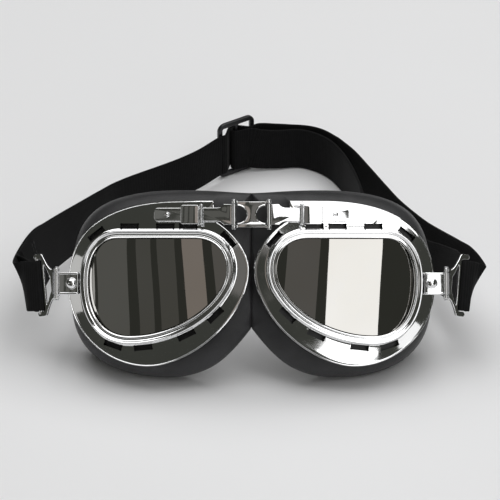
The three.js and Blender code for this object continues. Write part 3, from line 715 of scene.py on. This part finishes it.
def strap_hook(side):
    """Two ears on the hinge pin, two spreading arms, and two bars; the strap goes round the outer one."""
    arm = (bezier([(1.3, 6.95), (3.9, 7.3), (5.7, 11.6), (6.9, 14.2)], 16)
           + bezier([(6.9, 14.2), (7.3, 15.3), (8.0, 15.6), (8.9, 15.6)], 6)
           + arc(11.4, 14.25, 1.35, 90, -90, 9) + [(9.3, 12.9), (8.5, 12.6), (8.1, 12.0)])
    outer = [(-1.1, 6.95)] + arm
    outline = [(x, -z) for x, z in outer] + [(x, z) for x, z in reversed(outer)]
    window = [(3.3, -3.1)] + bezier([(3.5, -3.8), (4.7, -5.9), (6.2, -9.3)], 8) + [(6.5, -9.8), (6.9, -9.6)]
    window = window + [(x, -z) for x, z in reversed(window)]
    body = plate([outline, window], 0.65, 1.3, bevel=0.36, rounds=3)
    bar = tube([(HOOK_BAR, 0, z) for z in np.linspace(-14.2, 14.2, 6)], 0.9, 16)
    arms = moved(merge(body, bar), Matrix.Rotation(HOOK_TILT, 4, "Y"))
    ears = [barrel(0, 0, z, z + 1.65, 1.4, 0.85) for z in (5.82, -7.47)]
    made = piece(f"hook_{side}", merge(arms, *ears), HOOK[side], CHROME,
                 stands_for=[f"strap_hook_{side}"])
    mouth = plate([rounded_box(-3.2, 1.85, -5.78, 5.78, 0.1, 2)], 4, 8, bevel=0.02, rounds=0)
    cut_with(made, [piece("mouth_tool", mouth, HOOK[side], CHROME)])
    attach(made, f"{side}_hook")


def bridge():
    low, high, x, y = BRIDGE["low"], BRIDGE["high"], BRIDGE["x"], BRIDGE["y"]
    edge, deep = x - 1.75, 4.6
    right_d = [(6.7 + px, MIDDLE + pz) for px, pz in arc(0, 0, deep, 90, 270, 21)]
    left_d = [(-px, pz) for px, pz in reversed(right_d)]
    outline = [(edge, low + 0.3), (-edge, low + 0.3), (-edge, MIDDLE - deep), *left_d,
               (-edge, MIDDLE + deep), (-edge, high - 0.3), (edge, high - 0.3), (edge, MIDDLE + deep),
               *right_d, (edge, MIDDLE - deep)]
    body = plate([outline], 0.0, 1.4, bevel=0.2, rounds=3)
    rims = [tube([(px, -1.38, pz) for px, pz in d], 0.36, 10) for d in (right_d, left_d)]
    tall = 1.15
    corners = [(s, z) for s in (-1, 1) for z in (low, high - tall)]
    lugs = [barrel(s * x, y, z, z + tall, 1.3, 0.75) for s, z in corners]
    arms = []
    for s, z in corners:
        x0, x1 = sorted((s * (x - 1.9), s * (x - 0.4)))
        arms.append(plate([rounded_box(x0, x1, z, z + tall, 0.1, 2)], 0.0, 1.4, bevel=0.1))
    piece("bridge_link", merge(body, *rims, *lugs, *arms), FACE, CHROME, "bridge", ["bridge_plate"])
    for side in SIDES:
        pin = wire_pin(x, y, low - GAP, high + GAP, 0.5, 1.15)
        piece(f"hinge_pin_{side}", pin, HALF[side], STEEL, "bridge", [f"bridge_pin_{side}"])


# ---- the soft pad ---------------------------------------------------------------------------------

PAD = dict(front=4.5, nose=15.0, depth=21.0, sweep=12.0)
NOSE_ENDS = [(0, 44.3), (0, -21.3)]


def smooth(t):
    t = np.clip(t, 0, 1)
    return t * t * (3 - 2 * t)


def rim_depth(x):
    out = np.clip(x / 92, 0, 1)
    near = (PAD["depth"] - PAD["nose"]) * np.minimum(1, out * 2.2) ** 0.8
    return PAD["nose"] + near + PAD["sweep"] * out ** 2.5


def swept(points):
    """Sweeps the pad back with its lens frame, but leaves it whole over the nose."""
    p = np.array(points, float)
    turn = WRAP * smooth(p[:, 0] / 24)
    x, y = p[:, 0] - BRIDGE["x"], p[:, 1] - BRIDGE["y"]
    p[:, 0] = BRIDGE["x"] + x * np.cos(turn) - y * np.sin(turn)
    p[:, 1] = BRIDGE["y"] + x * np.sin(turn) + y * np.cos(turn)
    p[:, 0] = np.maximum(p[:, 0], 0)
    return p


def flare(share, more=0.0, nose_depth=None):
    """Depths at a share of the way back to the rim; nose_depth, if given, holds beside the nose."""
    def depth(x, z):
        y = PAD["front"] + (rim_depth(x) - PAD["front"]) * share + more
        if nose_depth is not None:
            near = (1 - smooth(x / 9)) * smooth((z + 20) / 8) * smooth((44 - z) / 16)
            y = y + (nose_depth - y) * near
        return y
    return depth


class Between:
    """Places part of the way from under the flange out to the edge of the pad."""

    def __init__(self, share):
        self.share = share

    def at(self, turns, shift=0.0):
        start, end = flange_edge.at(turns, -0.8), pad_edge.at(turns, -0.6)
        out = end - start
        length = np.maximum(np.linalg.norm(out, axis=1), 1e-6)[:, None]
        return start + out * self.share + shift * out / length


def soft_half(name, stations, turns, side, material, node):
    """One half of a soft ring, swept back with its lens frame and fixed where it lies."""
    points, faces = ring(stations, turns)
    half = HALF[side]
    made = piece(name, (swept(points), faces), half, material, stands_for=[node], sharp=60)
    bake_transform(made)


def pad(side):
    turns = even_turns(pad_edge, 260, [*NOSE_ENDS, (17, 29.9), (19.4, 40.4)])
    seat = lens_edge.offset(3.5)
    stations = [
        (seat, 0, 6.6), (seat, 1.0, 6.3), (flange_edge, -2.8, 6.3), (flange_edge, -2.6, 4.9),
        (flange_edge, -2.2, 4.5), (flange_edge, -0.8, 4.3),
    ]
    for share, shift, depth, nose in ((0.25, 0.0, 0.03, 4.9), (0.5, 0.0, 0.09, 5.2), (0.75, 0.0, 0.18, 5.5),
                                      (0.9, 0.1, 0.27, 5.8), (1.0, 0.05, 0.37, 6.1)):
        stations.append((Between(share), shift, flare(depth, nose_depth=nose)))
    stations += [(pad_edge, 0.25, flare(0.47, nose_depth=6.8)), (pad_edge, 0.4, flare(0.57, nose_depth=8.0))]
    stations += [(pad_edge, shift, flare(share)) for shift, share in (
        (0.35, 0.67), (0.1, 0.77), (-0.35, 0.85), (-1.1, 0.915), (-2.0, 0.95), (-3.5, 0.955), (-6, 0.93),
        (-9, 0.88), (-11.5, 0.8), (-12, 0.7), (-11.6, 0.55))]
    soft_half(f"face_pad_skin_{side}", stations, turns, side, LEATHER, f"face_pad_{side}")


def roll(side):
    turns = even_turns(pad_edge, 220, NOSE_ENDS)
    stations = [(pad_edge, shift, flare(share, more)) for shift, share, more in (
        (-2.2, 0.95, 0.1), (-2.3, 0.98, 0.5), (-2.9, 1.0, 0.9), (-4.2, 1.0, 1.3), (-6.0, 1.0, 1.4),
        (-8.0, 1.0, 0.9), (-10.0, 0.98, 0.2), (-11.5, 0.93, -0.1), (-12.1, 0.85, 0), (-11.9, 0.8, 0),
        (-9.0, 0.885, 0), (-5.0, 0.945, 0))]
    soft_half(f"face_roll_skin_{side}", stations, turns, side, FLEECE, f"face_roll_{side}")


# ---- the strap ----------------------------------------------------------------------------------

STRAP = dict(width=25.0, thick=1.3)
LAYER = STRAP["thick"] + GAP
LOOP_R = 0.9 + GAP + STRAP["thick"] / 2
SLIDE = dict(width=23.0, height=34.0, slot=28.4, bar=2.6, thick=2.2, middle=1.6)
STRAP_LIFT = 3.2
THREADED = SLIDER @ Matrix.Translation((0, 0, STRAP_LIFT + (STRAP["width"] - SLIDE["height"]) / 2))
UNDER = -(SLIDE["thick"] / 2 + GAP + STRAP["thick"] / 2)
END_BAR = SLIDE["width"] / 2 - SLIDE["bar"] / 2
# The radius of the webbing's turn round the slider's middle bar.
BAR_TURN = 2.3


def stop(x, y, lift=0.0, lean=0.0, back=0.0):
    """A place over the table: the strap's lower edge is at the lift, and its upper edge leans to the
    right by one angle and away from the face by the other."""
    up = Vector((math.tan(lean), math.tan(back), 1)).normalized()
    return TABLE @ Vector((x, y, lift + STRAP["width"] / 2 * up.z)), up


def stop_in(m, x, y, lean=0.0, z=0.0):
    up = (m.to_3x3() @ Vector((math.sin(lean), 0, math.cos(lean)))).normalized()
    return m @ Vector((x, y, z)), up


def wrap(m, x, y, radius, start, end, count):
    return [stop_in(m, x + radius * math.cos(t), y + radius * math.sin(t))
            for t in np.radians(np.linspace(start, end, count))]


def smooth_path(stops, count):
    """Centripetal Catmull-Rom through the stops, with even steps along it."""
    p = np.array([s[0] for s in stops], float)
    u = np.array([s[1] for s in stops], float)
    p = np.concatenate(([2 * p[0] - p[1]], p, [2 * p[-1] - p[-2]]))
    points, ups = [], []
    for i in range(1, len(p) - 2):
        k = [0.0]
        for j in range(3):
            k.append(k[-1] + max(np.linalg.norm(p[i + j] - p[i + j - 1]), 1e-9) ** 0.5)
        for t in np.linspace(k[1], k[2], 24, endpoint=i == len(p) - 3):
            a1 = (k[1] - t) / (k[1] - k[0]) * p[i - 1] + (t - k[0]) / (k[1] - k[0]) * p[i]
            a2 = (k[2] - t) / (k[2] - k[1]) * p[i] + (t - k[1]) / (k[2] - k[1]) * p[i + 1]
            a3 = (k[3] - t) / (k[3] - k[2]) * p[i + 1] + (t - k[2]) / (k[3] - k[2]) * p[i + 2]
            b1 = (k[2] - t) / (k[2] - k[0]) * a1 + (t - k[0]) / (k[2] - k[0]) * a2
            b2 = (k[3] - t) / (k[3] - k[1]) * a2 + (t - k[1]) / (k[3] - k[1]) * a3
            points.append((k[2] - t) / (k[2] - k[1]) * b1 + (t - k[1]) / (k[2] - k[1]) * b2)
            share = (t - k[1]) / (k[2] - k[1])
            ups.append(u[i - 1] + (u[i] - u[i - 1]) * share)
    points, ups = np.array(points), np.array(ups)
    run = np.concatenate(([0], np.cumsum(np.linalg.norm(np.diff(points, axis=0), axis=1))))
    even = np.linspace(0, run[-1], count)
    at = np.stack([np.interp(even, run, points[:, a]) for a in range(3)], 1)
    up = np.stack([np.interp(even, run, ups[:, a]) for a in range(3)], 1)
    return at, up, run[-1]


def strap_section():
    """Half-rounded ribbon section: (out, up) in mm, counterclockwise, with its place across."""
    h, w = STRAP["thick"] / 2, STRAP["width"] / 2
    flat = np.linspace(-(w - 0.6), w - 0.6, 9)
    right = [(h, z) for z in flat]
    top = [(h * math.cos(t), w - 0.6 + 0.6 * math.sin(t)) for t in np.linspace(0.5, math.pi - 0.5, 4)]
    left = [(-h, z) for z in flat[::-1]]
    bottom = [(h * math.cos(t), -(w - 0.6) + 0.6 * math.sin(t)) for t in
              np.linspace(math.pi + 0.5, 2 * math.pi - 0.5, 4)]
    return right + top + left + bottom


def ribbon(node, stops, count, parts, bend=None):
    """One run of webbing in parts that share their ends. Each part is (name, first share of the run,
    last share, body at its start, body at its end). Returns, for each part whose two bodies differ, two
    points a little inside its ends, or the bend that is given for a run that lies on another."""
    at, up, length = smooth_path(stops, count)
    ahead = np.gradient(at, axis=0)
    ahead /= np.linalg.norm(ahead, axis=1)[:, None]
    up = up - ahead * (up * ahead).sum(1)[:, None]
    up /= np.linalg.norm(up, axis=1)[:, None]
    out = np.cross(up, ahead)
    section = strap_section()
    m = len(section)
    run = np.linspace(0, length, len(at))
    bends = []
    for name, first, last, start_body, end_body in parts:
        i, j = round(first * (count - 1)), round(last * (count - 1))
        rows = [[at[k] + out[k] * o * MM + up[k] * w * MM for o, w in section] for k in range(i, j + 1)]
        points, faces = grid(rows, closed_rows=False, caps=True)
        uv = [tuple((run[i + v // m], section[v % m][1] * MM) for v in face) for face in faces]
        made = piece(name, (points, faces), Matrix.Identity(4), WEBBING, uv=uv, sharp=50,
                     stands_for=[node])
        if start_body == end_body:
            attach(made, start_body)
            continue
        reach = Vector(at[j] - at[i])
        turning = bend or (Vector(at[i]) + reach * 0.12, Vector(at[j]) - reach * 0.12)
        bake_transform(made)
        bends.append(turning)
    return bends


def beside(stops, start, distances, gap):
    """Stops on the inner side of a run of webbing, at distances in mm along it from a given point."""
    at, up, length = smooth_path(stops, 600)
    ahead = np.gradient(at, axis=0)
    inward = -np.cross(up, ahead)
    inward /= np.linalg.norm(inward, axis=1)[:, None]
    first = int(np.argmin(np.linalg.norm(at - np.array(start), axis=1)))
    places = [first + round(d * MM / length * 599) for d in distances]
    return [(Vector(at[k] + inward[k] * gap * MM), Vector(up[k])) for k in places]


def stitches(name, middle, up):
    """One row of lock stitches across the webbing near the left hook."""
    shapes = []
    for z in np.arange(-10.2, 10.3, 2.4):
        ends = [middle + up.normalized() * (z + d) * MM for d in (-0.85, -0.4, 0.4, 0.85)]
        shapes.append(tube([e / MM for e in ends], [0.1, 0.24, 0.24, 0.1], 8))
    made = piece(name, merge(*shapes), Matrix.Scale(MM, 4), THREAD)
    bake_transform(made)


def left_strap():
    """The run from the left hook to the slider, and its sewn end, which lies on the run's inner side."""
    left = GRIP["left"]
    left_run = [
        *wrap(left, HOOK_BAR, 0, LOOP_R, 188, 270, 4), stop_in(left, 17, -LOOP_R, 0.12, 0.4),
        stop_in(left, 22.0, 1.6, 0.22, 1.5), stop(-107.2, 48.3, 26, -0.3, 0.52),
        stop(-102.8, 60.5, 21.6, -0.22, 0.42), stop(-96.3, 76.5, 16.2, -0.15, 0.31),
        stop(-88.5, 92.3, 11.7, -0.1, 0.22), stop(-79.5, 109.8, 7.2, -0.05, 0.12),
        stop(-70.1, 125, 4, 0, 0.05), stop(-49.4, 144, 1.2), stop(-38.8, 151, 1.4), stop(-28.3, 158.4, 2.3),
        stop_in(THREADED, -END_BAR - 3, UNDER - 0.5), stop_in(THREADED, -END_BAR - 0.2, UNDER)]
    fold = ribbon("strap_left", left_run, 300, [
        ("webbing_left_fold", 0, 0.24, "left_hook", "left_eyecup"),
        ("webbing_left", 0.24, 0.74, "left_eyecup", "bridge"),
        ("webbing_left_rear", 0.74, 1, "bridge", "slider")])[0]
    crease = left_run[5][0]
    ribbon("strap_end_left", [
        *wrap(left, HOOK_BAR, 0, LOOP_R, 160, 90, 4), stop_in(left, 15.2, LOOP_R + 0.3, 0.12),
        *beside(left_run, crease, (8, 13, 18, 23), LAYER + 0.05)], 90,
        [("webbing_end_left", 0, 1, "left_hook", "left_eyecup")], fold)
    for row, distance in enumerate((19.5, 22)):
        middle, up = beside(left_run, crease, (distance,), LAYER + 0.75)[0]
        stitches(f"end_stitching_{row + 1}", middle, up)


def rear_strap():
    """The run through the slider, over its middle bar and on to the start of the right run."""
    ribbon("strap_rear", [
        stop_in(THREADED, -END_BAR + 0.2, UNDER), stop_in(THREADED, -7.8, UNDER + 0.05),
        stop_in(THREADED, -6.4, UNDER + 1.15), *wrap(THREADED, 0, 0, BAR_TURN + LAYER, 135, 45, 4),
        stop_in(THREADED, 6.4, UNDER + 1.15), stop_in(THREADED, 7.8, UNDER + 0.05),
        stop_in(THREADED, END_BAR, UNDER), stop_in(THREADED, END_BAR + 2.5, UNDER + 0.05),
        stop(12, 184.5, 2), stop(21, 185.4, 1), stop(31.4, 184.8, 0.5), stop(39.2, 181.8),
        stop(47.2, 173.8)], 240, [
        ("webbing_slider", 0, 0.34, "slider", "slider"),
        ("webbing_rear", 0.34, 1, "slider", "bridge")])


def right_strap():
    """The outer run to the right hook, and the run that comes back from it to the slider."""
    right = GRIP["right"]
    ribbon("strap_right", [
        stop(47.2, 173.8), stop(55, 162), stop(62.5, 145.6, 0.5), stop(69.8, 127.2, 2),
        stop(77.3, 107.6, 4, 0, 0.06), stop(84, 90.2, 7.3, 0.04, 0.15), stop(90.4, 74.9, 10.8, 0.08, 0.24),
        stop(96.7, 60.3, 15.6, 0.14, 0.34), stop(102.5, 46.2, 20.9, 0.22, 0.44),
        stop(107, 34.9, 25, 0.3, 0.52), stop_in(right, 18, 1.6, 0.42), stop_in(right, 14.4, -LOOP_R, 0.12),
        *wrap(right, HOOK_BAR, 0, LOOP_R, 270, 188, 4)], 280, [
        ("webbing_right", 0, 0.76, "bridge", "right_eyecup"),
        ("webbing_right_fold", 0.76, 1, "right_eyecup", "right_hook")])
    ribbon("strap_return", [
        *wrap(right, HOOK_BAR, 0, LOOP_R, 160, 130, 3), stop_in(right, 11.8, 5),
        stop(101.8, 28.5, 26.5, 0.12, 0.54), stop(99, 37, 22, 0.18, 0.46), stop(94.8, 46.5, 17.2, 0.16, 0.37),
        stop(88.5, 57, 12.6, 0.1, 0.28), stop(78, 75.5, 8.2, 0.04, 0.16), stop(66, 97, 4, 0, 0.06),
        stop(59.6, 114.5, 2), stop(56.9, 130.5, 1), stop(53.6, 145.2, 0.7), stop(48.6, 160, 0.5),
        stop(42.4, 171, 0.5), stop(34.6, 178, 0.5), stop(26, 181.4, 0.5), stop(16, 180, 0.8),
        stop(8, 178.9, 1.5), stop(3.2, 178.1, 2.4), stop_in(THREADED, 6.6, UNDER - LAYER - 0.1),
        *wrap(THREADED, 0, 0, BAR_TURN, 252, 65, 8)], 460, [
        ("webbing_return_hook", 0, 0.14, "right_hook", "right_eyecup"),
        ("webbing_return", 0.14, 0.62, "right_eyecup", "bridge"),
        ("webbing_return_rear", 0.62, 0.9, "bridge", "slider"),
        ("webbing_return_end", 0.9, 1, "slider", "slider")])


def slider():
    half_w, half_h = SLIDE["width"] / 2, SLIDE["height"] / 2
    inner, outer, slot = SLIDE["middle"] / 2, half_w - SLIDE["bar"], SLIDE["slot"] / 2
    outline = rounded_box(-half_w, half_w, -half_h, half_h, 4.2, 10)
    holes = [rounded_box(inner, outer, -slot, slot, 0.9, 5), rounded_box(-outer, -inner, -slot, slot, 0.9, 5)]
    shape = plate([outline, *holes], SLIDE["thick"] / 2, SLIDE["thick"], bevel=0.55, rounds=3)
    piece("tri_glide", shape, SLIDER, SLIDER_PLASTIC, "slider", ["strap_slider"])


# ---- assembly -----------------------------------------------------------------------------------

bridge()
for side_name in SIDES:
    lens_frame(side_name)
    lens(side_name)
    retainer(side_name)
    tongue(side_name)
    keeper(side_name)
    small_parts(side_name)
    bracket(side_name)
    strap_hook(side_name)
    pad(side_name)
    roll(side_name)
left_strap()
rear_strap()
right_strap()
slider()

# ---- floor, light and camera -----------------------------------------------------------------------


def floor():
    s = Shader("pale_table", (0.84, 0.84, 0.85), 0.75)
    s.color(s.ramp(s.noise(3, 3), ((0.3, (0.83, 0.83, 0.84)), (0.7, (0.85, 0.85, 0.86)))))
    s.bumps((s.noise(900, 3), 0.05, 0.0002),)
    mesh = bpy.data.meshes.new("floor")
    mesh.from_pydata([(-2.2, -1.1, 0), (2.2, -1.1, 0), (2.2, 4, 0), (-2.2, 4, 0)], [], [(0, 1, 2, 3)])
    mesh.materials.append(s.material)
    made = bpy.data.objects.new("floor", mesh)
    bpy.context.scene.collection.objects.link(made)


def area(name, at, target, size, power, color=(1, 1, 1)):
    light = bpy.data.lights.new(name, "AREA")
    light.shape = "RECTANGLE"
    light.size, light.size_y = size
    light.energy = power
    light.color = color
    made = bpy.data.objects.new(name, light)
    bpy.context.scene.collection.objects.link(made)
    made.location = at
    made.rotation_mode = "QUATERNION"
    made.rotation_quaternion = (Vector(target) - Vector(at)).to_track_quat("-Z", "Y")
    return made


def toward(side_degrees, up_degrees, distance):
    """A point seen from the face at angles to the right of and above the face's own axis."""
    a, b = math.radians(side_degrees), math.radians(up_degrees)
    flat = -BACK * math.cos(a) + RIGHT * math.sin(a)
    return FACE_MIDDLE + (flat * math.cos(b) + UP * math.sin(b)) * distance


def card(name, side, up, size, power, color=(1, 1, 1), distance=1.6, turn=0.0):
    """A soft light on a stand in front of the goggles, turned towards them."""
    made = area(name, toward(side, up, distance), FACE_MIDDLE, size, power, color)
    made.rotation_quaternion = made.rotation_quaternion @ Quaternion((0, 0, 1), math.radians(turn))


floor()
area("overhead_softbox", (0.1, 0.35, 1.7), (0.0, 0.05, 0), (2.4, 2.0), 34)
card("right_softbox", 22.3, 0, (0.47, 1.25), 3.0)
card("low_softbox", 15.5, -25, (0.48, 0.22), 0.6)
card("right_top_softbox", 31, 20, (0.5, 0.46), 1.8)
card("right_low_softbox", 43, -20, (0.42, 0.38), 0.5)
card("upper_card", 3, 14.5, (0.24, 0.2), 0.27)
card("near_right_card", 5, 0, (0.3, 0.6), 0.055, (1, 0.93, 0.9))
card("near_left_card", -7, 0, (0.19, 0.6), 0.09, (1, 0.86, 0.78), turn=4)
card("left_card_a", -16, 0, (0.16, 0.6), 0.016, (1, 0.96, 0.9))
card("left_card_b", -23.5, 0, (0.13, 0.6), 0.014, (1, 0.97, 0.92))
card("left_card_c", -34, 0, (0.26, 0.6), 0.045, (1, 0.99, 0.95))
card("far_left_card", -51, 0, (0.56, 0.45), 0.38, (1, 0.99, 0.97))

world = bpy.data.worlds.new("studio")
bpy.context.scene.world = world
world.use_nodes = True
world.node_tree.nodes["Background"].inputs["Color"].default_value = (0.58, 0.6, 0.52, 1)
world.node_tree.nodes["Background"].inputs["Strength"].default_value = 0.075

CAMERA_DISTANCE = 1.4
AIM_UP, AIM_LEFT = 0.0164, 0.0007
camera_data = bpy.data.cameras.new("camera")
camera_data.sensor_width = 36
camera_data.lens = 206
camera_data.clip_start = 0.1
camera = bpy.data.objects.new("camera", camera_data)
bpy.context.scene.collection.objects.link(camera)
camera.location = FACE_MIDDLE - BACK * CAMERA_DISTANCE
aim = FACE_MIDDLE + UP * AIM_UP - RIGHT * AIM_LEFT
look = (aim - camera.location).normalized()
camera.rotation_mode = "QUATERNION"
camera.rotation_quaternion = look.to_track_quat("-Z", "Y")
bpy.context.scene.camera = camera
bpy.context.scene.view_settings.view_transform = "Standard"
